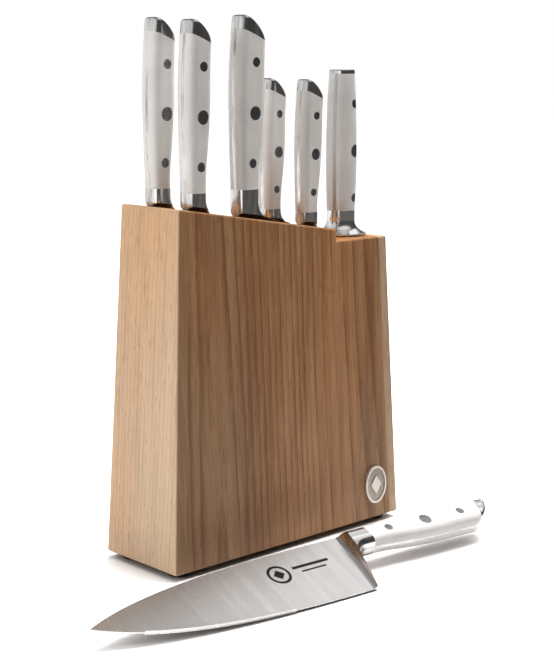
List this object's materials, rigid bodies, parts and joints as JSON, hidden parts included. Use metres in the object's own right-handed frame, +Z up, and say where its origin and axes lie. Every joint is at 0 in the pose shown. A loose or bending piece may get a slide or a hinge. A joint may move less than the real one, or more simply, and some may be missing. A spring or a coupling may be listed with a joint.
{
  "type": "knife block with knives",
  "caption": "Tapered upright wooden block with a stepped, sloping top and slots; riveted-handle kitchen knives and a honing steel stand in it and a chef's knife lies in front.",
  "frame": {"origin": "centre of the whole set's bounding box, on the counter", "axes": "+Z up out of the block, +X along the block's wide face, +Y from its front face (the one with the plate) to the back"},
  "size_m": [0.3286, 0.1688, 0.3545],
  "materials": {
    "wood": "satin oiled beech, vertical grain",
    "rubber": "matt black",
    "screw_steel": "zinc plated",
    "plate_metal": "satin, raised rim and lozenge",
    "scales": "glossy off-white resin",
    "rivet_steel": "dark polished",
    "polished_steel": "mirror polished",
    "blade_steel": "satin ground blade, polished bolster"
  },
  "bodies": {
    "block": {"left_end_board": "wood", "right_end_board": "wood", "front_board": "wood", "front_stave": "wood", "middle_board": "wood", "rear_board": "wood", "foot_front_left": "rubber", "foot_front_right": "rubber", "foot_rear_left": "rubber", "foot_rear_right": "rubber", "foot_screws": "screw_steel", "maker_plate": "plate_metal"},
    "bread_knife": {"bread_knife_forging": "blade_steel", "bread_knife_scale_left": "scales", "bread_knife_scale_right": "scales", "bread_knife_rivets": "rivet_steel", "bread_knife_cap": "polished_steel"},
    "slicing_knife": {"slicing_knife_forging": "blade_steel", "slicing_knife_scale_left": "scales", "slicing_knife_scale_right": "scales", "slicing_knife_rivets": "rivet_steel", "slicing_knife_cap": "polished_steel"},
    "santoku_knife": {"santoku_knife_forging": "blade_steel", "santoku_knife_scale_left": "scales", "santoku_knife_scale_right": "scales", "santoku_knife_rivets": "rivet_steel", "santoku_knife_cap": "polished_steel"},
    "utility_knife": {"utility_knife_forging": "blade_steel", "utility_knife_scale_left": "scales", "utility_knife_scale_right": "scales", "utility_knife_rivets": "rivet_steel", "utility_knife_cap": "polished_steel"},
    "paring_knife": {"paring_knife_forging": "blade_steel", "paring_knife_scale_left": "scales", "paring_knife_scale_right": "scales", "paring_knife_rivets": "rivet_steel", "paring_knife_cap": "polished_steel"},
    "chef_knife": {"chef_knife_forging": "blade_steel", "chef_knife_scale_left": "scales", "chef_knife_scale_right": "scales", "chef_knife_rivets": "rivet_steel", "chef_knife_cap": "polished_steel"},
    "honing_steel": {"honing_steel_rod": "blade_steel", "honing_steel_guard": "polished_steel", "honing_steel_scale_left": "scales", "honing_steel_scale_right": "scales", "honing_steel_rivets": "rivet_steel", "honing_steel_cap": "polished_steel"}
  },
  "joints": [
    {"name": "bread_knife_lift", "type": "slide", "parent": "block", "child": "bread_knife", "axis": [0, 0, 1], "range_m": [0, 0.213]},
    {"name": "slicing_knife_lift", "type": "slide", "parent": "block", "child": "slicing_knife", "axis": [0, 0, 1], "range_m": [0, 0.213]},
    {"name": "santoku_knife_lift", "type": "slide", "parent": "block", "child": "santoku_knife", "axis": [0, 0, 1], "range_m": [0, 0.188]},
    {"name": "utility_knife_lift", "type": "slide", "parent": "block", "child": "utility_knife", "axis": [0, 0, 1], "range_m": [0, 0.15]},
    {"name": "paring_knife_lift", "type": "slide", "parent": "block", "child": "paring_knife", "axis": [0, 0, 1], "range_m": [0, 0.1]},
    {"name": "chef_knife_lift", "type": "slide", "parent": "block", "child": "chef_knife", "axis": [0, 0, 1], "range_m": [0, 0.25]},
    {"name": "honing_steel_lift", "type": "slide", "parent": "block", "child": "honing_steel", "axis": [0, 0, 1], "range_m": [0, 0.195]}
  ]
}
